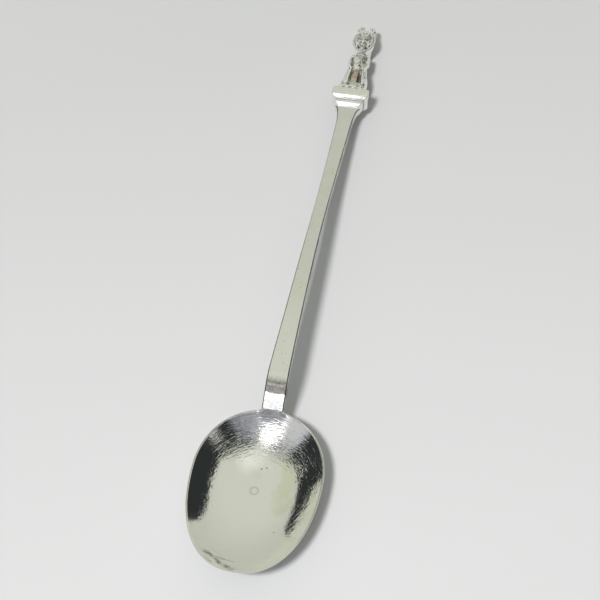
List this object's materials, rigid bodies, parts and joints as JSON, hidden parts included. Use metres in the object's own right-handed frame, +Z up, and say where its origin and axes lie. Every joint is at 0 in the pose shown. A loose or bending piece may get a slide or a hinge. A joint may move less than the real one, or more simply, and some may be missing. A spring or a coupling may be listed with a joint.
{
  "type": "souvenir spoon",
  "caption": "Small silver souvenir spoon with an egg-shaped bowl, a flat tapering stem and a stepped capital carrying a seated beast finial.",
  "frame": {"origin": "on the table under the middle of the spoon's length and width", "axes": "+Y from the bowl's tip to the finial, +Z up out of the bowl's hollow, +X to the right seen from the bowl"},
  "size_m": [0.022, 0.1219, 0.0093],
  "materials": {
    "polished_silver": "polished silver with fine hair scratches and a worn satin patch in the bowl",
    "plate_silver": "polished cast silver with soft worn edges",
    "cast_silver": "cast silver, bright on the high points and dark with tarnish in the recesses"
  },
  "bodies": {
    "root": {"bowl": "polished_silver", "stem": "polished_silver", "collar_plate": "plate_silver", "capital_plate": "plate_silver", "figure": "cast_silver"}
  },
  "joints": []
}
